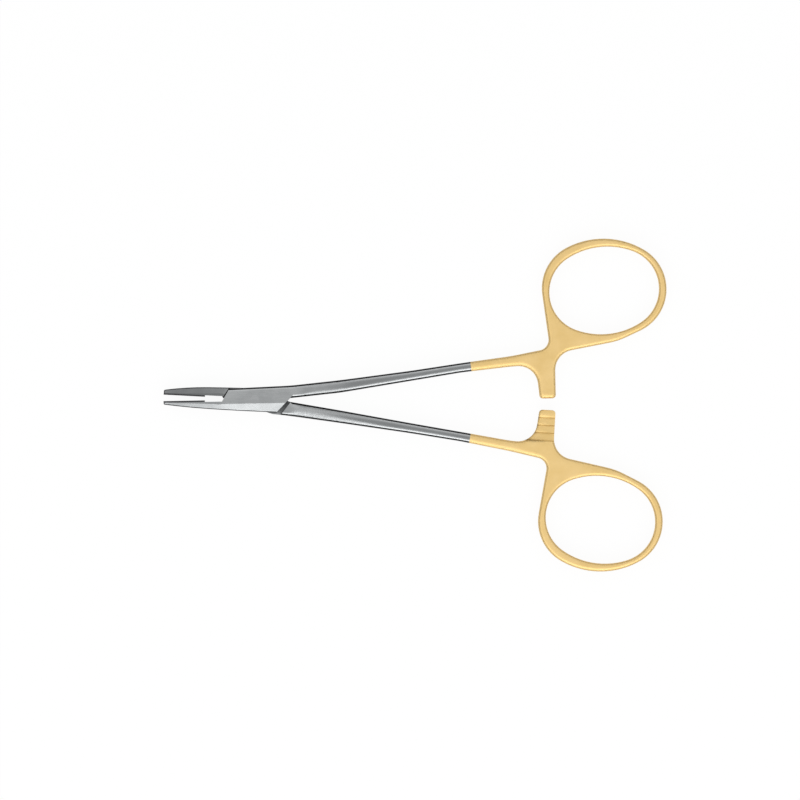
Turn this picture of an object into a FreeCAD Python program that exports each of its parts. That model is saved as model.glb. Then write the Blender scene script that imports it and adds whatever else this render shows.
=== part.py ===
import FreeCAD, Part
import math
import os
import Sketcher
from FreeCAD import Placement, Rotation, Vector

# A 130 mm needle holder with a box joint, lying on its side.
# X runs along the instrument, jaw tips at -X and finger rings at +X.
# Y is across it and Z is up; Z = 0 is the flat underside of the box joint.
# Each half is drawn closed, about the joint's axis, and then turned open.

SIZES = {
    # how far each half stands open from the closed line, in degrees
    "rest_angle": 2.0,
    # jaws
    "jaw_length": 23.6,
    "jaw_seat_drop": 0.40,
    "jaw_tip_round": 0.38,
    "jaw_tip_thickness": 2.1,
    "jaw_mid_x": 12.0,
    "jaw_root_x": 9.5,
    "box_half_tip_drop": 0.90,
    "box_half_mid_drop": 2.25,
    "box_half_jaw_angle": -8.5,
    "box_half_low_y": 3.45,
    "tenon_half_tip_drop": 1.27,
    "tenon_half_mid_drop": 2.54,
    "tenon_half_jaw_angle": -10.5,
    "tenon_half_low_y": 3.05,
    # box joint
    "box_thickness": 4.6,
    "box_height": 2.92,
    "box_front_top_x": 6.5,
    "box_front_low_x": 8.5,
    "box_rear_low_x": 5.5,
    "box_rear_top_x": 9.05,
    "box_rear_top_y": 0.16,
    "box_blend_length": 4.5,
    # tenon that passes through the box
    "tenon_thickness": 1.7,
    "tenon_half_width": 2.2,
    "tenon_angle": 15.0,
    "slot_play": 0.05,
    "slot_side_play": 0.08,
    "shoulder_gap": 0.24,
    "tenon_rear_x": 9.25,
    "tenon_rear_y": 0.2,
    "tenon_rear_angle": 124.3,
    "opening_angle": 40.0,
    # rivet
    "pin_radius": 1.1,
    "pin_play": 0.03,
    # shanks: stations of the middle line and the width there
    "shank_root_x": 9.3,
    "shank_root_y": 1.93,
    "shank_root_width": 3.25,
    "shank_bend_x": 22.0,
    "shank_bend_y": 3.16,
    "shank_bend_width": 3.22,
    "shank_mid_x": 40.4,
    "shank_mid_y": 5.35,
    "shank_mid_width": 2.6,
    "shank_waist_x": 53.4,
    "shank_waist_y": 7.0,
    "shank_waist_width": 2.42,
    "shank_end_x": 66.3,
    "shank_end_y": 8.6,
    "shank_end_width": 2.7,
    "shank_ease": 1.6,
    # how far each half's shank departs from those stations
    "box_half_root_shift": -0.15,
    "box_half_bend_shift": -0.22,
    "box_half_waist_shift": 0.18,
    "tenon_half_root_shift": 0.25,
    "tenon_half_bend_shift": 0.15,
    "tenon_half_waist_shift": -0.15,
    "shank_thickness": 3.5,
    "shank_thin_x": 46.0,
    "handle_thickness": 2.9,
    # finger rings, placed from the end of the shank
    "finger_hole_near_run": 10.15,
    "finger_hole_near_rise": 6.59,
    "finger_hole_half_length": 14.2,
    "finger_hole_half_width": 11.27,
    "finger_hole_side_radius": 18.9,
    "finger_hole_tilt": 5.6,
    "ring_band_long": 1.88,
    "ring_band_short": 1.66,
    "ring_band_side": 1.65,
    "ring_shift": 0.43,
    "ring_lean": -8.2,
    # neck between the shank and the ring
    "neck_left_run": 10.08,
    "neck_left_rise": 3.2,
    "neck_right_run": 11.3,
    "neck_right_rise": 1.82,
    "neck_bend_run": 27.6,
    "neck_bend_rise": 4.7,
    "neck_left_blend": 2.8,
    "neck_right_blend": 5.2,
    "neck_bend_round": 18.0,
    # ratchet arms
    "arm_root_run": 6.3,
    "arm_root_drop": 1.05,
    "arm_left_run": 7.2,
    "arm_width": 4.15,
    "arm_reach": 1.15,
    "arm_blend": 5.0,
    "arm_corner": 0.9,
    "lap_y": 6.95,
    "lap_play": 0.10,
    "tooth_count": 3,
    "tooth_pitch": 1.97,
    "tooth_depth": 0.45,
    "tooth_land_y": 0.75,
    # rounding of the long edges
    "edge_round": 0.85,
    "jaw_edge_round": 0.4,
    "finger_hole_round": 0.75,
    # plain bevels round the underside
    "under_bevel": 0.42,
    "jaw_under_bevel": 0.24,
    # broad bevel along the outer side of jaw and box
    "bevel_box_y": 1.05,
    "bevel_tip_y": 0.40,
    "bevel_angle": 15.0,
    # brazed gripping plates
    "insert_length": 10.6,
    "insert_gap": 0.02,
    "insert_groove_pitch": 0.6,
    "insert_groove_depth": 0.07,
}

doc = FreeCAD.newDocument("needle_holder")
sheet = doc.addObject("Spreadsheet::Sheet", "sizes")
for row, (alias, number) in enumerate(SIZES.items(), 1):
    sheet.set(f"A{row}", alias)
    sheet.set(f"B{row}", str(number))
    sheet.setAlias(f"B{row}", alias)
doc.recompute()


def size(alias):
    return float(getattr(sheet, alias))


def bind(item, field, rule):
    item.setExpression(field, rule)


def origin_plane(body, role):
    for plane in body.Origin.OriginFeatures:
        if plane.Role == role:
            return plane


def new_sketch(body, name, role, offset=0.0):
    sketch = body.newObject("Sketcher::SketchObject", name)
    sketch.AttachmentSupport = [(origin_plane(body, role), "")]
    sketch.MapMode = "FlatFace"
    sketch.AttachmentOffset = Placement(Vector(0, 0, offset), Rotation())
    return sketch


def pin_ends(sketch, index, start, end):
    for point, place in ((1, start), (2, end)):
        sketch.addConstraint(Sketcher.Constraint("DistanceX", -1, 1, index, point, place[0]))
        sketch.addConstraint(Sketcher.Constraint("DistanceY", -1, 1, index, point, place[1]))


def add_line(sketch, start, end):
    line = Part.LineSegment(Vector(start[0], start[1], 0), Vector(end[0], end[1], 0))
    pin_ends(sketch, sketch.addGeometry(line), start, end)


def add_loop(sketch, points):
    for start, end in zip(points, points[1:] + points[:1]):
        add_line(sketch, start, end)


def tangent_arc(start, direction, end):
    # arc that leaves start along direction and passes through end
    chord = math.atan2(end[1] - start[1], end[0] - start[0])
    turn = chord - direction
    middle = Vector((start[0] + end[0]) / 2, (start[1] + end[1]) / 2, 0)
    length = math.dist(start, end)
    rise = length / 2 * math.tan(turn / 2)
    middle += Vector(math.sin(chord), -math.cos(chord), 0) * rise
    first = Vector(start[0], start[1], 0)
    last = Vector(end[0], end[1], 0)
    if abs(rise) < 0.0001:
        return Part.LineSegment(first, last), chord
    return Part.Arc(first, middle, last), chord + turn


def add_run(sketch, points, direction):
    # smooth run of tangent arcs through the points
    for start, end in zip(points, points[1:]):
        arc, direction = tangent_arc(start, direction, end)
        sketch.addGeometry(arc)
    return direction


def add_pad(body, name, sketch, rule):
    pad = body.newObject("PartDesign::Pad", name)
    pad.Profile = sketch
    pad.SideType = "Symmetric"
    bind(pad, "Length", rule)
    doc.recompute()
    return pad


def add_cut(body, name, sketch, rule):
    before = body.Shape.Volume
    cut = body.newObject("PartDesign::Pocket", name)
    cut.Profile = sketch
    cut.SideType = "Symmetric"
    cut.Type = "Length"
    bind(cut, "Length", rule)
    doc.recompute()
    if not body.Shape.Volume < before:
        raise RuntimeError(name + " removes nothing")
    return cut


def upright_edges(shape, places, reach=0.02):
    # names of the edges parallel to Z that stand at the given places
    names = []
    for number, edge in enumerate(shape.Edges, 1):
        first = edge.Vertexes[0].Point
        last = edge.Vertexes[-1].Point
        if math.dist((first.x, first.y), (last.x, last.y)) > 0.001:
            continue
        for place in places:
            if math.dist((first.x, first.y), place) < reach:
                names.append(f"Edge{number}")
    return names


def add_fillet(body, name, edges, rule):
    base = body.Tip
    fillet = body.newObject("PartDesign::Fillet", name)
    fillet.Base = (base, edges)
    bind(fillet, "Radius", rule)
    doc.recompute()
    return fillet


def add_bevel(body, name, edges, rule):
    base = body.Tip
    bevel = body.newObject("PartDesign::Chamfer", name)
    bevel.Base = (base, edges)
    bind(bevel, "Size", rule)
    doc.recompute()
    return bevel


def at_handle(name):
    # a place that is set from the end of the shank
    return (size("shank_end_x") + size(name + "_run"), size("shank_end_y") + size(name + "_rise"))


def finger_hole_centre():
    x, y = at_handle("finger_hole_near")
    return x + size("finger_hole_half_length"), y + size("finger_hole_half_width")


def arm_places():
    # root corner and the two end corners of the ratchet arm
    end_x = size("shank_end_x")
    left = end_x + size("arm_left_run")
    root = (end_x + size("arm_root_run"), size("shank_end_y") - size("arm_root_drop"))
    return root, (left, -size("arm_reach")), (left + size("arm_width"), -size("arm_reach"))


def oval_arcs(centre, half_length, half_width, side_radius, tilt):
    # four tangent arcs, counterclockwise: centre, radius, first and last angle
    end_radius = side_radius**2 - half_length**2 - (side_radius - half_width) ** 2
    end_radius /= 2 * (side_radius - half_length)
    turn = math.radians(tilt)
    reach = half_length - end_radius
    drop = side_radius - half_width
    half_turn = math.atan2(drop, reach)

    def place(along, across):
        return (
            centre[0] + along * math.cos(turn) - across * math.sin(turn),
            centre[1] + along * math.sin(turn) + across * math.cos(turn),
        )

    return [
        (place(reach, 0), end_radius, turn - half_turn, turn + half_turn),
        (place(0, -drop), side_radius, turn + half_turn, turn + math.pi - half_turn),
        (place(-reach, 0), end_radius, turn + math.pi - half_turn, turn + math.pi + half_turn),
        (place(0, drop), side_radius, turn + math.pi + half_turn, turn + 2 * math.pi - half_turn),
    ]


def hole_arcs():
    return oval_arcs(
        finger_hole_centre(),
        size("finger_hole_half_length"),
        size("finger_hole_half_width"),
        size("finger_hole_side_radius"),
        size("finger_hole_tilt"),
    )


def ring_arcs():
    hole_x, hole_y = finger_hole_centre()
    return oval_arcs(
        (hole_x, hole_y + size("ring_shift")),
        size("finger_hole_half_length") + size("ring_band_long"),
        size("finger_hole_half_width") + size("ring_band_short"),
        size("finger_hole_side_radius") + size("ring_band_side"),
        size("finger_hole_tilt") + size("ring_lean"),
    )


def on_arc(arc, angle):
    centre, radius = arc[0], arc[1]
    return (centre[0] + radius * math.cos(angle), centre[1] + radius * math.sin(angle))


def touch(point, arcs, sign):
    # where a line from a point outside touches an oval
    for number, (centre, radius, start, end) in enumerate(arcs):
        distance = math.dist(point, centre)
        if distance < radius:
            continue
        away = math.atan2(point[1] - centre[1], point[0] - centre[0])
        angle = away + sign * math.acos(radius / distance)
        turned = (angle - start) % (2 * math.pi)
        if turned <= end - start:
            return number, start + turned
    raise RuntimeError("no line touches the ring")


def band_width():
    # least width of the ring's band, between the hole and the rim
    arcs = ring_arcs()
    neck_left = at_handle("neck_left")
    neck_bend = at_handle("neck_bend")
    first_arc, ring_start = touch(neck_bend, arcs, 1)
    last_arc, ring_end = touch(neck_left, arcs, -1)
    count = 60
    shares = [step / count for step in range(count + 1)]
    rim = []
    necks = ((neck_bend, on_arc(arcs[first_arc], ring_start)), (on_arc(arcs[last_arc], ring_end), neck_left))
    for start, end in necks:
        rim += [tuple(a + share * (b - a) for a, b in zip(start, end)) for share in shares]
    steps = (last_arc - first_arc) % 4
    for step in range(steps + 1):
        arc = arcs[(first_arc + step) % 4]
        start = ring_start if step == 0 else arc[2]
        end = ring_end if step == steps else arc[3]
        rim += [on_arc(arc, start + share * (end - start)) for share in shares]
    hole = [on_arc(arc, arc[2] + share * (arc[3] - arc[2])) for arc in hole_arcs() for share in shares]
    return min(math.dist(place, other) for place in rim for other in hole)


def add_arc(sketch, side, arc, start, end):
    first, middle, last = (on_arc(arc, angle) for angle in (start, (start + end) / 2, end))
    points = [Vector(x, side * y, 0) for x, y in (first, middle, last)]
    sketch.addGeometry(Part.Arc(*points))


def shank_stations(half, side_of_middle):
    places = []
    for station in ("root", "bend", "mid", "waist", "end"):
        x = size(f"shank_{station}_x")
        y = size(f"shank_{station}_y")
        if f"{half}_{station}_shift" in SIZES:
            y += size(f"{half}_{station}_shift")
        places.append((x, y + side_of_middle * size(f"shank_{station}_width") / 2))
    return places


def flip(points, side):
    return [(x, side * y) for x, y in points]


def low_corner_of(half):
    return (size("box_rear_low_x"), -size(half + "_low_y"))


def half_outline(body, half, side):
    # plan of one forged half: jaw, box, shank, neck, ring and ratchet arm
    sketch = new_sketch(body, "outline", "XY_Plane")
    tip_x = -size("jaw_length")
    seat = -size("jaw_seat_drop")
    tip_low = (tip_x, -size(half + "_tip_drop"))
    jaw_mid = (-size("jaw_mid_x"), -size(half + "_mid_drop"))
    low_corner = low_corner_of(half)
    front_low = (-size("box_front_low_x"), seat)
    front_top = (-size("box_front_top_x"), size("box_height"))
    rear_top = (size("box_rear_top_x"), size("box_rear_top_y"))
    neck_left = at_handle("neck_left")
    neck_right = at_handle("neck_right")
    neck_bend = at_handle("neck_bend")
    arm_root, arm_left, arm_right = arm_places()
    arcs = ring_arcs()
    first_arc, ring_start = touch(neck_bend, arcs, 1)
    last_arc, ring_end = touch(neck_left, arcs, -1)
    outer = shank_stations(half, 1)
    inner = shank_stations(half, -1)

    def line(start, end):
        add_line(sketch, (start[0], side * start[1]), (end[0], side * end[1]))

    line((tip_x, seat), tip_low)
    jaw_edge = flip([tip_low, jaw_mid, low_corner], side)
    add_run(sketch, jaw_edge, side * math.radians(size(half + "_jaw_angle")))
    line(low_corner, rear_top)
    blended(sketch, flip([rear_top] + inner[1:] + [arm_root], side), size("shank_ease"))
    line(arm_root, arm_left)
    line(arm_left, arm_right)
    line(arm_right, neck_right)
    line(neck_right, neck_bend)
    line(neck_bend, on_arc(arcs[first_arc], ring_start))
    steps = (last_arc - first_arc) % 4
    for step in range(steps + 1):
        arc = arcs[(first_arc + step) % 4]
        start = ring_start if step == 0 else arc[2]
        end = ring_end if step == steps else arc[3]
        add_arc(sketch, side, arc, start, end)
    line(on_arc(arcs[last_arc], ring_end), neck_left)
    blended(sketch, flip([front_top] + outer + [neck_left], side), size("shank_ease"))
    line(front_top, front_low)
    line(front_low, (tip_x, seat))
    return sketch


def blended(sketch, points, reach):
    # open run of lines with each corner eased by an arc that starts reach before it
    starts = [points[0]]
    for before, corner, after in zip(points, points[1:], points[2:]):
        back = math.atan2(before[1] - corner[1], before[0] - corner[0])
        ahead = math.atan2(after[1] - corner[1], after[0] - corner[0])
        enter = (corner[0] + reach * math.cos(back), corner[1] + reach * math.sin(back))
        leave = (corner[0] + reach * math.cos(ahead), corner[1] + reach * math.sin(ahead))
        add_line(sketch, starts[-1], enter)
        sketch.addGeometry(tangent_arc(enter, back + math.pi, leave)[0])
        starts.append(leave)
    add_line(sketch, starts[-1], points[-1])


def jaw_half_thickness(x):
    # half the thickness of the tapered jaw at a place along it
    rise = (size("box_thickness") - size("jaw_tip_thickness")) / 2
    share = (x + size("jaw_length")) / (size("jaw_length") - size("jaw_root_x"))
    return size("jaw_tip_thickness") / 2 + rise * share


def half_profile(body, sign):
    # material above the upper face, seen from the side, or below the lower one
    sketch = new_sketch(body, "profile_above" if sign > 0 else "profile_below", "XZ_Plane")
    box = size("box_thickness") / 2
    start = -1.2 * size("jaw_length")
    end = finger_hole_centre()[0] + 1.5 * size("finger_hole_half_length")
    box_end = size("tenon_rear_x") + 0.3
    points = [
        (start, jaw_half_thickness(start)),
        (-size("jaw_root_x"), box),
        (box_end, box),
        (box_end + size("box_blend_length"), size("shank_thickness") / 2),
        (size("shank_thin_x"), size("handle_thickness") / 2),
        (end, size("handle_thickness") / 2),
    ]
    points = flip(points, sign)
    far = sign * 2 * box
    blended(sketch, points, size("box_blend_length") / 3)
    add_line(sketch, points[-1], (end, far))
    add_line(sketch, (end, far), (start, far))
    add_line(sketch, (start, far), points[0])
    return sketch


def bevel_cut(body, side, level):
    # broad bevel along the outer side of the box, and on along the tapered jaw
    word = "above" if level > 0 else "below"
    slope = math.tan(math.radians(size("bevel_angle")))
    width = 2 * size("box_height")
    lift = size("box_thickness")
    root_x = size("jaw_root_x")
    y = size("bevel_box_y")
    z = size("box_thickness") / 2
    run = size("jaw_length") - root_x
    taper = Vector(-run, side * (y - size("bevel_tip_y")), level * (size("jaw_tip_thickness") / 2 - z))
    reaches = (
        ("box_bevel_", Vector(1, 0, 0), root_x + 1.3 * size("tenon_rear_x")),
        ("jaw_bevel_", taper, 1.3 * run),
    )
    for name, direction, reach in reaches:
        sketch = new_sketch(body, name + "plan_" + word, "YZ_Plane", -root_x)
        points = [(-y, z), (-y - width, z - slope * width), (-y - width, z + lift), (-y, z + lift)]
        add_loop(sketch, [(side * place_y, level * place_z) for place_y, place_z in points])
        before = body.Shape.Volume
        cut = body.newObject("PartDesign::Pocket", name + word)
        cut.Profile = sketch
        cut.UseCustomVector = True
        cut.Direction = direction
        cut.Length = reach
        doc.recompute()
        if not body.Shape.Volume < before:
            raise RuntimeError(name + word + " removes nothing")


def finger_hole(body, side):
    sketch = new_sketch(body, "finger_hole", "XY_Plane")
    for arc in hole_arcs():
        add_arc(sketch, side, arc, arc[2], arc[3])
    add_cut(body, "finger_hole_cut", sketch, "2 * sizes.box_thickness")


def beside_line(point, first, last):
    # distance of a point from the line through two others
    along = (last[0] - first[0], last[1] - first[1])
    away = (point[0] - first[0], point[1] - first[1])
    return abs(along[0] * away[1] - along[1] * away[0]) / math.hypot(*along)


def rim_group(half, x, y):
    # which of the long edges a place on the rim belongs to
    seat = -size("jaw_seat_drop")
    front_low = (-size("box_front_low_x"), seat)
    front_top = (-size("box_front_top_x"), size("box_height"))
    low_corner = low_corner_of(half)
    rear_top = (size("box_rear_top_x"), size("box_rear_top_y"))
    tilt = math.radians(size("finger_hole_tilt"))
    hole_x, hole_y = finger_hole_centre()
    along = (x - hole_x) * math.cos(tilt) + (y - hole_y) * math.sin(tilt)
    across = (y - hole_y) * math.cos(tilt) - (x - hole_x) * math.sin(tilt)
    along /= size("finger_hole_half_length")
    across /= size("finger_hole_half_width")
    if math.hypot(along, across) < 1.07:
        return "finger_hole"
    if x < front_top[0] + 0.01 and y > seat - 0.01:
        return "joint" if x > front_low[0] + 0.01 else "seat"
    if abs(x + size("jaw_length")) < 0.01:
        return "seat"
    if x < rear_top[0] and y < rear_top[1] and beside_line((x, y), low_corner, rear_top) < 0.01:
        return "joint"
    return "jaw" if x < low_corner[0] and y < seat else "long"


def rim_edges(shape, half, side, group, level):
    # edges between an upright wall and the upper face, or the lower one
    names = []
    for number, edge in enumerate(shape.Edges, 1):
        walls = 0
        caps = 0
        for face in shape.ancestorsOfType(edge, Part.Face):
            first, last, low, high = face.ParameterRange
            tilt = abs(face.normalAt((first + last) / 2, (low + high) / 2).z)
            walls += tilt < 0.05
            caps += tilt > 0.5
        middle = edge.valueAt((edge.FirstParameter + edge.LastParameter) / 2)
        if walls != 1 or caps != 1 or level * middle.z < 0:
            continue
        if rim_group(half, middle.x, side * middle.y) == group:
            names.append(f"Edge{number}")
    return names


def plan_corners(half, side, name):
    arm_root, arm_left, arm_right = arm_places()
    places = {
        "tip": [(-size("jaw_length"), -size(half + "_tip_drop"))],
        "arm_root": [arm_root],
        "arm_end": [arm_left, arm_right],
    }
    return flip(places[name] if name in places else [at_handle(name)], side)


def forged_blank(name, side):
    body = doc.addObject("PartDesign::Body", name)
    body.Label = name
    add_pad(body, "blank", half_outline(body, name, side), "sizes.box_thickness")
    reach = "4 * (sizes.shank_end_y + sizes.finger_hole_near_rise + 2 * sizes.finger_hole_half_width)"
    add_cut(body, "thin_above", half_profile(body, 1), reach)
    add_cut(body, "thin_below", half_profile(body, -1), reach)
    rounds = (
        ("tip_round", "jaw_tip_round", "tip"),
        ("neck_left_round", "neck_left_blend", "neck_left"),
        ("neck_right_round", "neck_right_blend", "neck_right"),
        ("neck_bend_round", "neck_bend_round", "neck_bend"),
        ("arm_root_round", "arm_blend", "arm_root"),
        ("arm_end_round", "arm_corner", "arm_end"),
    )
    for label, alias, corner in rounds:
        edges = upright_edges(body.Shape, plan_corners(name, side, corner))
        add_fillet(body, label, edges, "sizes." + alias)
    finger_hole(body, side)
    bevel_cut(body, side, 1)
    bevel_cut(body, side, -1)
    # the rounds on the two sides of the ring's band share its width
    band = band_width()
    for group, alias, bevel, room in (
        ("long", "edge_round", "under_bevel", 0.545 * band),
        ("jaw", "jaw_edge_round", "jaw_under_bevel", band),
        ("finger_hole", "finger_hole_round", "under_bevel", 0.48 * band),
    ):
        edges = rim_edges(body.Shape, name, side, group, 1)
        add_fillet(body, group + "_above", edges, f"min(sizes.{alias}; {room:.5f})")
        edges = rim_edges(body.Shape, name, side, group, -1)
        add_bevel(body, group + "_below", edges, "sizes." + bevel)
    return body


def far_line(point, degrees, reach):
    # two places far out on the line through a point
    turn = math.radians(degrees)
    ahead = (point[0] + reach * math.cos(turn), point[1] + reach * math.sin(turn))
    back = (point[0] - reach * math.cos(turn), point[1] - reach * math.sin(turn))
    return back, ahead


def cut_slot(body, side):
    # mortise through the box, open at both sides, with room for the tenon's swing
    half = size("tenon_half_width") + size("slot_side_play")
    shut = -size("tenon_angle")
    swing = size("opening_angle")
    peak_turn = math.radians(90 + shut - swing / 2)
    peak = half / math.cos(math.radians(swing / 2))
    apex = (peak * math.cos(peak_turn), peak * math.sin(peak_turn))
    reach = 2 * size("box_front_low_x")
    right = far_line(apex, shut, reach)[1]
    top = far_line(apex, shut - swing, reach)[0]
    points = [apex, right, (-top[0], -top[1]), (-apex[0], -apex[1]), (-right[0], -right[1]), top]
    sketch = new_sketch(body, "slot", "XY_Plane")
    add_loop(sketch, flip(points, side))
    add_cut(body, "slot_cut", sketch, "sizes.tenon_thickness + 2 * sizes.slot_play")


def shoulders(side):
    # the tenon half's shoulder lines, before the box's front edge and behind it
    seat = -size("jaw_seat_drop")
    run_x = size("box_front_low_x") - size("box_front_top_x")
    run_y = size("box_height") - seat
    length = math.hypot(run_x, run_y)
    front_x = -size("box_front_low_x") - size("shoulder_gap") * run_y / length
    front_y = -seat + size("shoulder_gap") * run_x / length
    front_turn = math.degrees(math.atan2(-run_y, run_x))
    reach = 1.5 * size("box_front_low_x")
    front_top, front_low = far_line((front_x, front_y), front_turn, reach)
    rear_low, rear_top = far_line((size("tenon_rear_x"), size("tenon_rear_y")), size("tenon_rear_angle"), reach)
    return front_low, rear_low, rear_top, front_top


def cut_tenon(body, side):
    # the waist that passes through the box: thinned between the shoulders, then narrowed
    corners = list(shoulders(side))
    step = (size("tenon_thickness") + size("box_thickness")) / 2
    for word, level in (("above", 1), ("below", -1)):
        sketch = new_sketch(body, "tenon_plan_" + word, "XY_Plane", level * step)
        add_loop(sketch, flip(corners, side))
        add_cut(body, "tenon_" + word, sketch, "sizes.box_thickness")
    turn = math.radians(size("tenon_angle"))
    half = size("tenon_half_width")
    reach = 3 * size("box_front_low_x")
    for word, level in (("inner", 1), ("outer", -1)):
        edge = (-level * half * math.sin(turn), level * half * math.cos(turn))
        back, ahead = far_line(edge, size("tenon_angle"), reach)
        off = (-level * reach * math.sin(turn), level * reach * math.cos(turn))
        band = [back, ahead, (ahead[0] + off[0], ahead[1] + off[1]), (back[0] + off[0], back[1] + off[1])]
        sketch = new_sketch(body, "tenon_side_" + word, "XY_Plane")
        add_loop(sketch, flip(trimmed(band, corners), side))
        add_cut(body, "tenon_" + word, sketch, "2 * sizes.box_thickness")


def trimmed(polygon, window):
    # the part of a polygon that lies within a four-sided window
    area = sum(a[0] * b[1] - b[0] * a[1] for a, b in zip(window, window[1:] + window[:1]))
    turn = 1 if area > 0 else -1
    for first, last in zip(window, window[1:] + window[:1]):
        kept = []
        for start, end in zip(polygon, polygon[1:] + polygon[:1]):
            near = turn * cross(first, last, start)
            far = turn * cross(first, last, end)
            if near >= 0:
                kept.append(start)
            if near * far < 0:
                share = near / (near - far)
                kept.append((start[0] + share * (end[0] - start[0]), start[1] + share * (end[1] - start[1])))
        polygon = kept
    return polygon


def cross(first, last, point):
    return (last[0] - first[0]) * (point[1] - first[1]) - (last[1] - first[1]) * (point[0] - first[0])


def bore_joint(body, rule):
    sketch = new_sketch(body, "bore", "XY_Plane")
    circle = sketch.addGeometry(Part.Circle(Vector(0, 0, 0), Vector(0, 0, 1), size("pin_radius")))
    sketch.addConstraint(Sketcher.Constraint("Coincident", circle, 3, -1, 1))
    radius = sketch.addConstraint(Sketcher.Constraint("Radius", circle, size("pin_radius")))
    bind(sketch, f"Constraints[{radius}]", rule)
    add_cut(body, "bore_cut", sketch, "2 * sizes.box_thickness")


def cut_ratchet(body, side, level):
    # lap the arm to half its thickness on one face and step that face with teeth
    crest = -size("lap_play") / 2
    root = crest - size("tooth_depth")
    lap = size("lap_y")
    low = -2 * size("arm_reach")
    far = size("box_thickness")
    points = [(low, crest)]
    for tooth in range(int(size("tooth_count"))):
        y = size("tooth_land_y") + tooth * size("tooth_pitch")
        points.append((y, crest))
        points.append((y, root))
    points.append((y + size("tooth_pitch"), crest))
    points.append((lap, crest))
    points.append((lap, far))
    points.append((low, far))
    arm_left = arm_places()[1]
    sketch = new_sketch(body, "ratchet", "YZ_Plane", arm_left[0] + size("arm_width") / 2)
    add_loop(sketch, [(side * y, level * z) for y, z in points])
    add_cut(body, "ratchet_cut", sketch, "4 * sizes.arm_width")


def turn_open(body, side):
    body.Placement = Placement(Vector(0, 0, 0), Rotation(Vector(0, 0, side), size("rest_angle")))
    bind(body, "Placement.Base.z", "sizes.box_thickness / 2")
    bind(body, "Placement.Rotation.Angle", "sizes.rest_angle")


def box_half():
    body = forged_blank("box_half", 1)
    cut_slot(body, 1)
    bore_joint(body, "sizes.pin_radius")
    cut_ratchet(body, 1, -1)
    turn_open(body, 1)
    return body


def tenon_half():
    body = forged_blank("tenon_half", -1)
    cut_tenon(body, -1)
    bore_joint(body, "sizes.pin_radius + sizes.pin_play")
    cut_ratchet(body, -1, 1)
    turn_open(body, -1)
    return body


def joint_pin():
    body = doc.addObject("PartDesign::Body", "joint_pin")
    body.Label = "joint_pin"
    sketch = new_sketch(body, "section", "XY_Plane")
    circle = sketch.addGeometry(Part.Circle(Vector(0, 0, 0), Vector(0, 0, 1), size("pin_radius")))
    sketch.addConstraint(Sketcher.Constraint("Coincident", circle, 3, -1, 1))
    radius = sketch.addConstraint(Sketcher.Constraint("Radius", circle, size("pin_radius")))
    bind(sketch, f"Constraints[{radius}]", "sizes.pin_radius")
    add_pad(body, "rivet", sketch, "sizes.box_thickness")
    bind(body, "Placement.Base.z", "sizes.box_thickness / 2")
    return body


def jaw_insert(name, side):
    # brazed plate with a cross-cut gripping face
    body = doc.addObject("PartDesign::Body", name)
    body.Label = name
    seat = size("jaw_seat_drop")
    gap = size("insert_gap") / 2
    start = -size("jaw_length")
    end = start + size("insert_length")
    middle = (seat + gap) / 2
    sketch = new_sketch(body, "plan", "XZ_Plane", side * middle)
    low = jaw_half_thickness(start)
    high = jaw_half_thickness(end)
    add_loop(sketch, [(start, -low), (end, -high), (end, high), (start, low)])
    add_pad(body, "plate", sketch, "sizes.jaw_seat_drop - sizes.insert_gap / 2")
    depth = size("insert_groove_depth")
    pitch = size("insert_groove_pitch")
    reach = size("insert_length") + 2 * high
    for number, angle in enumerate((45.0, -45.0), 1):
        cuts = body.newObject("Sketcher::SketchObject", f"grooves_{number}")
        cuts.AttachmentSupport = [(origin_plane(body, "YZ_Plane"), "")]
        cuts.MapMode = "FlatFace"
        centre_x = (start + end) / 2
        cuts.AttachmentOffset = Placement(Vector(0, 0, centre_x), Rotation(Vector(1, 0, 0), angle))
        count = int(reach * math.cos(math.radians(angle)) / pitch / 2)
        for step in range(-count, count + 1):
            place = step * pitch
            face = -side * gap
            top = face + side * depth
            floor = face - side * depth
            points = [(floor, place), (top, place + 2 * depth), (top, place - 2 * depth)]
            add_loop(cuts, points)
        add_cut(body, f"groove_cut_{number}", cuts, "2 * sizes.insert_length")
    turn_open(body, side)
    return body


def write_parts(pieces):
    for item in doc.Objects:
        if "Invalid" in item.State or "Error" in item.State:
            raise RuntimeError(item.Name + " failed")
    os.makedirs("parts", exist_ok=True)
    for piece in pieces:
        shape = piece.Shape
        if shape.isNull() or not shape.isValid() or len(shape.Solids) != 1:
            raise RuntimeError(piece.Label + " isn't one valid solid")
        print(piece.Label, round(shape.Volume, 2), len(shape.Faces))
    for piece in pieces:
        piece.Shape.exportStep(f"parts/{piece.Label}.step")


pieces = [
    box_half(),
    tenon_half(),
    joint_pin(),
    jaw_insert("box_half_insert", 1),
    jaw_insert("tenon_half_insert", -1),
]
doc.recompute()
write_parts(pieces)
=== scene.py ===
import math

import bpy
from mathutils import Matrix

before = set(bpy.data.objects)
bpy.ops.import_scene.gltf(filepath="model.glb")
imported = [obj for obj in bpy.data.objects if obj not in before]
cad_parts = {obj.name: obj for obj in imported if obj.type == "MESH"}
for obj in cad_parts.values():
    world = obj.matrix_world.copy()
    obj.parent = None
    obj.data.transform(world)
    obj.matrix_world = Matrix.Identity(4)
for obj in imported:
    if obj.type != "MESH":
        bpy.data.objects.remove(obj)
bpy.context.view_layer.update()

# Looks of the needle holder: satin steel jaws, box and shanks, and gold-plated handles.
# Lengths are in metres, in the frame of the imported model, with the rivet's axis at the origin.

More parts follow.
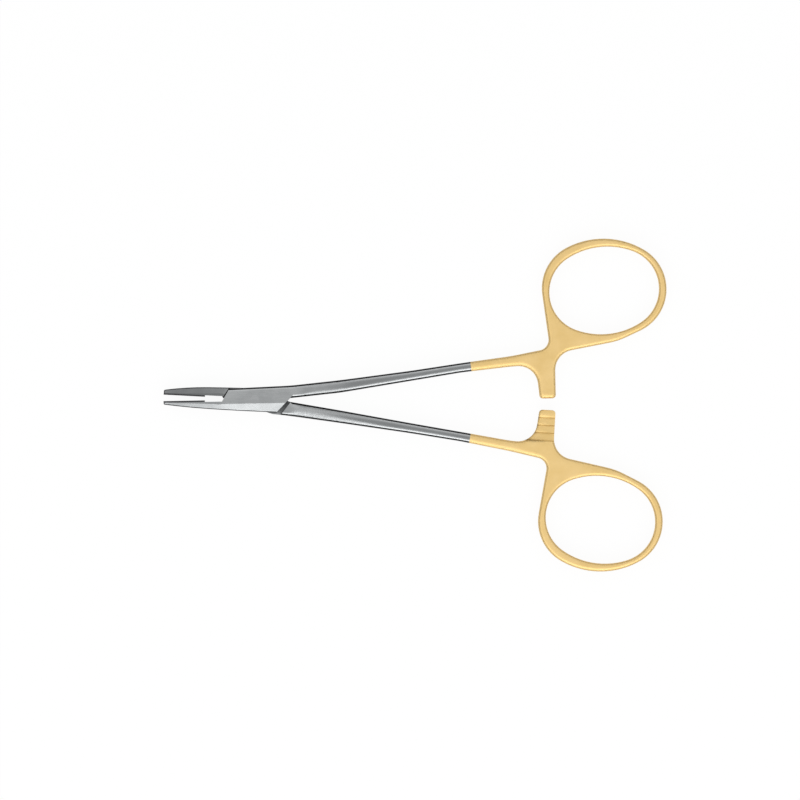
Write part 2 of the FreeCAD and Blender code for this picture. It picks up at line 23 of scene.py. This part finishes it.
# Base colours
STEEL = (0.50, 0.515, 0.52)
STEEL_CLOUD = (0.37, 0.382, 0.388)
# painted shade along the shanks' middle
STEEL_SHANK_PAINTED_SHADE = (0.27, 0.279, 0.284)
# painted highlight on the shanks' rounds
STEEL_PAINTED_HIGHLIGHT = (0.62, 0.635, 0.64)
# painted shade on rounded edges and on the jaws
STEEL_PAINTED_SHADE = (0.02, 0.021, 0.022)
# painted shade down in the seams
STEEL_SEAM_PAINTED_SHADE = (0.035, 0.036, 0.038)
GOLD = (0.81, 0.575, 0.237)
GOLD_CLOUD = (0.875, 0.665, 0.34)
# painted shade on the gold's rounded edges
GOLD_EDGE_PAINTED_SHADE = (0.72, 0.52, 0.23)
# painted shade down in the gold's seams
GOLD_SEAM_PAINTED_SHADE = (0.50, 0.31, 0.09)
CARBIDE = (0.022, 0.022, 0.024)
CARBIDE_EDGE = (0.07, 0.07, 0.073)
FLOOR_PAPER = (0.9, 0.9, 0.9)

# Lowest and highest roughness, and what two features add to it
STEEL_ROUGHNESS = (0.20, 0.34)
RIVET_ROUGHNESS = (0.22, 0.36)
GOLD_ROUGHNESS = (0.42, 0.54)
CARBIDE_ROUGHNESS = (0.32, 0.50)
SHANK_EXTRA_ROUGHNESS = -0.08
PATCH_EXTRA_ROUGHNESS = (-0.03, 0.05)

# How fine each noise is, as repeats in a metre
BELT_LINES = 9000.0
BELT_STREAKS = 1800.0
STEEL_CLOUDS = 130.0
RIVET_CLOUDS = 400.0
GOLD_GRAIN = 5200.0
GOLD_PATCHES = 210.0
CARBIDE_GRAIN = 16000.0
CARBIDE_CLOUDS = 900.0

# Nearly all of a noise lies in this span
NOISE_SPAN = (0.3, 0.7)

# The belt's lines and streaks: pace along X against the pace across, and weight in the sum
LINES_PACE = 0.05
STREAKS_PACE = 0.12
LINES_WEIGHT = 0.6
STREAKS_WEIGHT = 0.4

# Height of the fine relief
FORGING_RELIEF = 0.000006
RIVET_RELIEF = 0.000005
CARBIDE_RELIEF = 0.000004

# Turn of the shanks away from the X axis, in degrees
SHANK_TURN = 9.0

# Turn of the brushed noise, in degrees, which gives each finish its own pattern
FORGING_PATTERN = 7.0
RIVET_PATTERN = 3.0

# Distances from the rivet along a half's own shank, between which its look, painted shade and painted
# highlight change
PAINTED_HIGHLIGHT_GROWS = (0.012, 0.030)
SHANK_PAINTED_SHADE_GROWS = (0.013, 0.028)
SHANK_GETS_GLOSSIER = (0.016, 0.030)
ROUND_CHANGES = (0.018, 0.034)
RING_BEGINS = (0.072, 0.078)
PLATING_START = 0.05637
PLATING_BLUR = 0.00006
JAW_FADE = 0.0055

# The shaded rounding is complete at this many times the distance where it starts
ROUND_FADE = 1.5

# How strongly these and other changes show, the painted highlight and painted shade among them
ROUNDS_PAINTED_HIGHLIGHT = 0.9
SHANK_SHADE = 0.85
GOLD_EDGE_SHADE = 0.7
GOLD_SEAM_SHADE = 0.8
GOLD_CLOUD_SHARE = 0.5
CARBIDE_CLOUD_SHARE = 0.35
CREST_WEAR = 0.8
RING_ROUNDING = 0.35

# Reach of the rounding that is shaded on the shanks, depth of a seam that gets painted shade, and
# rays that are traced for each
SHANK_ROUND = 0.0015
SEAM_REACH = 0.0012
TRACED_SAMPLES = 8

# Z of a normal over which a rounded edge, with its painted shade, passes into the top or the wall, and
# over which the shaded rounding's painted highlight passes into the top
EDGE_TO_TOP = (0.82, 0.92)
WALL_TO_EDGE = (0.02, 0.12)
ROUND_TO_TOP = (0.88, 0.97)

# Openness over which a seam's painted shade passes into an open surface, and pointiness over which wear
# sets in
SEAM_TO_OPEN = (0.40, 0.92)
FLAT_TO_CREST = (0.5, 0.56)

# The two halves: the shank's side, 1 towards +Y, where its shaded rounding starts and how far
# that reaches at the root, how dark the painted shade on the jaw is, and where that shade ends
HALVES = {
    "box_half": {
        "side": 1, "round_start": 0.011, "root_round": 0.0017, "jaw_shade": 0.24, "jaw_end": -0.0065,
    },
    "tenon_half": {
        "side": -1, "round_start": 0.0082, "root_round": 0.0036, "jaw_shade": 0.56, "jaw_end": -0.0035,
    },
}

# The tent's levels: the Z of a direction, 1 straight up, and the light from there
TENT_LEVELS = (
    (0.0, 0.08), (0.20, 0.20), (0.38, 0.90), (0.62, 1.08), (0.88, 1.10), (0.975, 0.74), (1.0, 0.68),
)
FAR_SIDE_BEGINS = (0.12, 0.66)
FAR_SIDE_LEVEL = 0.95

# The lamp in front, with its elevation in degrees, and the floor
SOFTBOX_SIZE = (1.1, 0.66)
SOFTBOX_DISTANCE = 0.9
SOFTBOX_ELEVATION = 39.0
SOFTBOX_RADIANCE = 1.42
FLOOR_SIZE = 4.0
FLOOR_GLOW = 0.94

# The camera: width and centre of the picture in the object's plane, its turn in degrees, and
# its sensor in millimetres
PHOTO_WIDTH = 0.20647
PHOTO_CENTRE = (0.03742, 0.00046)
PHOTO_TURN = 0.94
OBJECT_PLANE = 0.0030
CAMERA_HEIGHT = 1.6
SENSOR_WIDTH = 36.0

# Sockets of the Mix node for each kind of content: first, second and result
MIX_SOCKETS = {"FLOAT": (2, 3, 0), "VECTOR": (4, 5, 1), "RGBA": (6, 7, 2)}


def new_material(name):
    material = bpy.data.materials.new(name)
    material.use_nodes = True
    material.node_tree.nodes.clear()
    return material


def add(tree, kind, **fields):
    node = tree.nodes.new(kind)
    for field, content in fields.items():
        setattr(node, field, content)
    return node


def feed(tree, socket, content):
    # content is another node's output, a colour or a number
    if isinstance(content, bpy.types.NodeSocket):
        tree.links.new(content, socket)
    elif isinstance(content, tuple):
        socket.default_value = (*content, 1.0)
    else:
        socket.default_value = content


def mixed(tree, kind, share, first, second, blend="MIX"):
    node = add(tree, "ShaderNodeMix", data_type=kind, blend_type=blend)
    first_socket, second_socket, result = MIX_SOCKETS[kind]
    feed(tree, node.inputs[0], share)
    feed(tree, node.inputs[first_socket], first)
    feed(tree, node.inputs[second_socket], second)
    return node.outputs[result]


def joined(tree, operation, first, second):
    node = add(tree, "ShaderNodeMath", operation=operation)
    feed(tree, node.inputs[0], first)
    feed(tree, node.inputs[1], second)
    return node.outputs["Value"]


def ranged(tree, value, start, end, at_start, at_end, smooth=False):
    node = add(tree, "ShaderNodeMapRange")
    node.interpolation_type = "SMOOTHSTEP" if smooth else "LINEAR"
    node.inputs["From Min"].default_value = start
    node.inputs["From Max"].default_value = end
    node.inputs["To Min"].default_value = at_start
    node.inputs["To Max"].default_value = at_end
    feed(tree, node.inputs["Value"], value)
    return node.outputs["Result"]


def component(tree, vector, axis):
    split = add(tree, "ShaderNodeSeparateXYZ")
    feed(tree, split.inputs["Vector"], vector)
    return split.outputs[axis]


def geometry(tree, output):
    return add(tree, "ShaderNodeNewGeometry").outputs[output]


def object_place(tree):
    return add(tree, "ShaderNodeTexCoord").outputs["Object"]


def noise(tree, vector, repeats, detail, roughness=0.55):
    node = add(tree, "ShaderNodeTexNoise")
    node.inputs["Scale"].default_value = repeats
    node.inputs["Detail"].default_value = detail
    node.inputs["Roughness"].default_value = roughness
    feed(tree, node.inputs["Vector"], vector)
    return node.outputs["Fac"]


def spread(tree, pattern, lowest, highest):
    return ranged(tree, pattern, *NOISE_SPAN, lowest, highest)


def drawn_out(tree, pace, turn):
    # the object's coordinates, slower along X, so that a noise is drawn out that way, and then turned
    mapping = add(tree, "ShaderNodeMapping")
    mapping.inputs["Scale"].default_value = (pace, 1.0, 1.0)
    mapping.inputs["Rotation"].default_value = (0.0, 0.0, math.radians(turn))
    feed(tree, mapping.inputs["Vector"], object_place(tree))
    return mapping.outputs["Vector"]


def brushed(tree, turn):
    # fine lines and wider streaks left by the polishing belt, nearly along the shanks
    lines = noise(tree, drawn_out(tree, LINES_PACE, turn), BELT_LINES, 2.0)
    streaks = noise(tree, drawn_out(tree, STREAKS_PACE, turn), BELT_STREAKS, 3.0)
    weighted_lines = joined(tree, "MULTIPLY", lines, LINES_WEIGHT)
    weighted_streaks = joined(tree, "MULTIPLY", streaks, STREAKS_WEIGHT)
    return joined(tree, "ADD", weighted_lines, weighted_streaks)


def clouded_steel(tree, repeats):
    clouds = noise(tree, object_place(tree), repeats, 4.0)
    return mixed(tree, "RGBA", spread(tree, clouds, 0.0, 1.0), STEEL, STEEL_CLOUD)


def surface(tree, colour, roughness, relief, relief_height, normal=None):
    # a metal with fine relief, over the given normal where there is one
    bump = add(tree, "ShaderNodeBump")
    bump.inputs["Distance"].default_value = relief_height
    feed(tree, bump.inputs["Height"], relief)
    if normal is not None:
        feed(tree, bump.inputs["Normal"], normal)
    shader = add(tree, "ShaderNodeBsdfPrincipled")
    shader.inputs["Metallic"].default_value = 1.0
    feed(tree, shader.inputs["Base Color"], colour)
    feed(tree, shader.inputs["Roughness"], roughness)
    feed(tree, shader.inputs["Normal"], bump.outputs["Normal"])
    output = add(tree, "ShaderNodeOutputMaterial")
    feed(tree, output.inputs["Surface"], shader.outputs["BSDF"])


def distance_along(tree, side):
    # distance from the rivet along the half's own shank, negative on its jaw
    turn = math.radians(SHANK_TURN)
    node = add(tree, "ShaderNodeVectorMath", operation="DOT_PRODUCT")
    feed(tree, node.inputs[0], object_place(tree))
    node.inputs[1].default_value = (math.cos(turn), side * math.sin(turn), 0.0)
    return node.outputs["Value"]


def painted_edge_shade(tree):
    # painted shade: 1 on the turn of the rounded upper edges, 0 on flat tops and upright walls
    upright = component(tree, geometry(tree, "Normal"), "Z")
    turned = ranged(tree, upright, *EDGE_TO_TOP, 1.0, 0.0, smooth=True)
    upward = ranged(tree, upright, *WALL_TO_EDGE, 0.0, 1.0, smooth=True)
    return joined(tree, "MULTIPLY", turned, upward)


def seam_painted_shade(tree):
    # painted shade: 1 down in the seams of the joint and the ratchet, where occlusion is found, 0 on open
    # surfaces
    occlusion = add(tree, "ShaderNodeAmbientOcclusion", samples=TRACED_SAMPLES)
    occlusion.inputs["Distance"].default_value = SEAM_REACH
    return ranged(tree, occlusion.outputs["AO"], *SEAM_TO_OPEN, 1.0, 0.0, smooth=True)


def rounded_normal(tree, along, root_round):
    # the shanks are polished rounder than their modelled rounds
    bevel = add(tree, "ShaderNodeBevel", samples=TRACED_SAMPLES)
    feed(tree, bevel.inputs["Radius"], ranged(tree, along, *ROUND_CHANGES, root_round, SHANK_ROUND))
    return bevel.outputs["Normal"]


def rounding_share(tree, along, round_start):
    # none on the jaws and the box, all on the shank and the handle, and little on the ring
    shank = ranged(tree, along, round_start, ROUND_FADE * round_start, 0.0, 1.0, smooth=True)
    ring = ranged(tree, along, *RING_BEGINS, 1.0, RING_ROUNDING, smooth=True)
    return joined(tree, "MULTIPLY", shank, ring)


def steel_colour(tree, along, edge, seam, rounded, jaw_shade, jaw_end):
    # painted shade on the jaw and along the shank's middle, a painted highlight on its rounds, and painted
    # shade on rounded edges and in seams
    shank = ranged(tree, along, *SHANK_PAINTED_SHADE_GROWS, 0.0, SHANK_SHADE, smooth=True)
    jaw = ranged(tree, along, jaw_end - JAW_FADE, jaw_end, jaw_shade, 0.0, smooth=True)
    leaning = ranged(tree, component(tree, rounded, "Z"), *ROUND_TO_TOP, 1.0, 0.0, smooth=True)
    brighter = ranged(tree, along, *PAINTED_HIGHLIGHT_GROWS, 0.0, ROUNDS_PAINTED_HIGHLIGHT, smooth=True)
    colour = mixed(tree, "RGBA", shank, clouded_steel(tree, STEEL_CLOUDS), STEEL_SHANK_PAINTED_SHADE)
    colour = mixed(tree, "RGBA", jaw, colour, STEEL_PAINTED_SHADE)
    colour = mixed(tree, "RGBA", joined(tree, "MULTIPLY", leaning, brighter), colour, STEEL_PAINTED_HIGHLIGHT)
    colour = mixed(tree, "RGBA", edge, colour, STEEL_PAINTED_SHADE)
    return mixed(tree, "RGBA", seam, colour, STEEL_SEAM_PAINTED_SHADE)


def gold_colour(tree, patches, edge, seam):
    # random patches, with painted shade on the rounded edges and down in the seams
    colour = mixed(tree, "RGBA", spread(tree, patches, 0.0, GOLD_CLOUD_SHARE), GOLD, GOLD_CLOUD)
    colour = mixed(tree, "RGBA", joined(tree, "MULTIPLY", edge, GOLD_EDGE_SHADE), colour, GOLD_EDGE_PAINTED_SHADE)
    return mixed(tree, "RGBA", joined(tree, "MULTIPLY", seam, GOLD_SEAM_SHADE), colour, GOLD_SEAM_PAINTED_SHADE)


def forging_finish_and_painted_light(name, side, round_start, root_round, jaw_shade, jaw_end):
    # brushed steel, with gold plating on a matt-blasted handle; painted shade on both, and a painted
    # highlight on the steel's rounds
    material = new_material(name)
    tree = material.node_tree
    along = distance_along(tree, side)
    edge = painted_edge_shade(tree)
    seam = seam_painted_shade(tree)
    rounded = rounded_normal(tree, along, root_round)

    lines = brushed(tree, -side * FORGING_PATTERN)
    steel = steel_colour(tree, along, edge, seam, rounded, jaw_shade, jaw_end)
    glossier = ranged(tree, along, *SHANK_GETS_GLOSSIER, 0.0, SHANK_EXTRA_ROUGHNESS, smooth=True)
    steel_roughness = joined(tree, "ADD", spread(tree, lines, *STEEL_ROUGHNESS), glossier)

    grain = noise(tree, object_place(tree), GOLD_GRAIN, 3.0, 0.6)
    patches = noise(tree, object_place(tree), GOLD_PATCHES, 4.0)
    gold = gold_colour(tree, patches, edge, seam)
    uneven = spread(tree, patches, *PATCH_EXTRA_ROUGHNESS)
    gold_roughness = joined(tree, "ADD", spread(tree, grain, *GOLD_ROUGHNESS), uneven)

    plated = ranged(tree, along, PLATING_START - PLATING_BLUR, PLATING_START + PLATING_BLUR, 0.0, 1.0)
    colour = mixed(tree, "RGBA", plated, steel, gold)
    roughness = mixed(tree, "FLOAT", plated, steel_roughness, gold_roughness)
    relief = mixed(tree, "FLOAT", plated, lines, grain)
    rounding = rounding_share(tree, along, round_start)
    normal = mixed(tree, "VECTOR", rounding, geometry(tree, "Normal"), rounded)
    surface(tree, colour, roughness, relief, FORGING_RELIEF, normal)
    return material


def rivet_finish():
    material = new_material("rivet_steel_finish")
    tree = material.node_tree
    lines = brushed(tree, RIVET_PATTERN)
    colour = clouded_steel(tree, RIVET_CLOUDS)
    surface(tree, colour, spread(tree, lines, *RIVET_ROUGHNESS), lines, RIVET_RELIEF)
    return material


def carbide_finish():
    # dark sintered plates, paler on the worn crests of their teeth
    material = new_material("carbide_finish")
    tree = material.node_tree
    grain = noise(tree, object_place(tree), CARBIDE_GRAIN, 4.0, 0.7)
    clouds = noise(tree, object_place(tree), CARBIDE_CLOUDS, 3.0)
    worn = ranged(tree, geometry(tree, "Pointiness"), *FLAT_TO_CREST, 0.0, CREST_WEAR, smooth=True)
    colour = mixed(tree, "RGBA", spread(tree, clouds, 0.0, CARBIDE_CLOUD_SHARE), CARBIDE, CARBIDE_EDGE)
    colour = mixed(tree, "RGBA", worn, colour, CARBIDE_EDGE)
    surface(tree, colour, spread(tree, grain, *CARBIDE_ROUGHNESS), grain, CARBIDE_RELIEF)
    return material


def dress(node, material):
    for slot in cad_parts[node].material_slots:
        slot.material = material


def white_ray(tree):
    # 1 for rays that show the background itself: camera, glossy and transmission
    path = add(tree, "ShaderNodeLightPath")
    shown = joined(tree, "MAXIMUM", path.outputs["Is Camera Ray"], path.outputs["Is Glossy Ray"])
    return joined(tree, "MAXIMUM", shown, path.outputs["Is Transmission Ray"])


def make_floor():
    # white paper that keeps a faint shadow
    bpy.ops.mesh.primitive_plane_add(size=FLOOR_SIZE, location=(PHOTO_CENTRE[0], 0.0, 0.0))
    floor = bpy.context.object
    floor.name = "studio_floor"
    material = new_material("studio_floor_paper")
    tree = material.node_tree
    diffuse = add(tree, "ShaderNodeBsdfDiffuse")
    feed(tree, diffuse.inputs["Color"], FLOOR_PAPER)
    glow = add(tree, "ShaderNodeEmission")
    mix = add(tree, "ShaderNodeMixShader")
    feed(tree, mix.inputs[0], joined(tree, "MULTIPLY", white_ray(tree), FLOOR_GLOW))
    feed(tree, mix.inputs[1], diffuse.outputs["BSDF"])
    feed(tree, mix.inputs[2], glow.outputs["Emission"])
    output = add(tree, "ShaderNodeOutputMaterial")
    feed(tree, output.inputs["Surface"], mix.outputs["Shader"])
    floor.data.materials.append(material)


def make_world():
    # a light tent: dimmer round the lens, a bright ring, and dark near the horizon
    world = bpy.data.worlds.new("studio_tent")
    bpy.context.scene.world = world
    world.use_nodes = True
    tree = world.node_tree
    tree.nodes.clear()
    direction = add(tree, "ShaderNodeTexCoord").outputs["Generated"]
    ramp = add(tree, "ShaderNodeValToRGB")
    ramp.color_ramp.interpolation = "EASE"
    elements = ramp.color_ramp.elements
    while len(elements) < len(TENT_LEVELS):
        elements.new(0.5)
    for element, (position, level) in zip(elements, TENT_LEVELS):
        element.position = position
        element.color = (level, level, level, 1.0)
    feed(tree, ramp.inputs["Fac"], component(tree, direction, "Z"))
    far = ranged(tree, component(tree, direction, "Y"), *FAR_SIDE_BEGINS, 1.0, FAR_SIDE_LEVEL, smooth=True)
    tent = add(tree, "ShaderNodeBackground")
    feed(tree, tent.inputs["Color"], mixed(tree, "RGBA", 1.0, ramp.outputs["Color"], far, "MULTIPLY"))
    # the camera sees plain white
    paper = add(tree, "ShaderNodeBackground")
    feed(tree, paper.inputs["Color"], (1.0, 1.0, 1.0))
    mix = add(tree, "ShaderNodeMixShader")
    feed(tree, mix.inputs[0], add(tree, "ShaderNodeLightPath").outputs["Is Camera Ray"])
    feed(tree, mix.inputs[1], tent.outputs["Background"])
    feed(tree, mix.inputs[2], paper.outputs["Background"])
    output = add(tree, "ShaderNodeOutputWorld")
    feed(tree, output.inputs["Surface"], mix.outputs["Shader"])


def add_softbox():
    # a large lamp in front of the object, aimed at the middle of the picture
    width, height = SOFTBOX_SIZE
    lamp = bpy.data.lights.new("front_softbox", "AREA")
    lamp.shape = "RECTANGLE"
    lamp.size = width
    lamp.size_y = height
    lamp.energy = SOFTBOX_RADIANCE * math.pi * width * height
    holder = bpy.data.objects.new("front_softbox", lamp)
    bpy.context.collection.objects.link(holder)
    rise = math.radians(SOFTBOX_ELEVATION)
    holder.location = (
        PHOTO_CENTRE[0],
        -SOFTBOX_DISTANCE * math.cos(rise),
        SOFTBOX_DISTANCE * math.sin(rise),
    )
    holder.rotation_euler = (math.pi / 2 - rise, 0.0, 0.0)


def add_camera():
    # straight above the object, turned a little about the upright line
    camera = bpy.data.cameras.new("photo_camera")
    camera.sensor_width = SENSOR_WIDTH
    camera.lens = SENSOR_WIDTH * CAMERA_HEIGHT / PHOTO_WIDTH
    camera.clip_end = 10.0
    holder = bpy.data.objects.new("photo_camera", camera)
    bpy.context.collection.objects.link(holder)
    holder.location = (*PHOTO_CENTRE, OBJECT_PLANE + CAMERA_HEIGHT)
    holder.rotation_euler = (0.0, 0.0, math.radians(PHOTO_TURN))
    bpy.context.scene.camera = holder


for node, values in HALVES.items():
    dress(node, forging_finish_and_painted_light(f"{node}_finish", **values))
dress("joint_pin", rivet_finish())
plate_material = carbide_finish()
for node in ("box_half_insert", "tenon_half_insert"):
    dress(node, plate_material)

make_floor()
make_world()
add_softbox()
add_camera()
bpy.context.scene.view_settings.view_transform = "Standard"
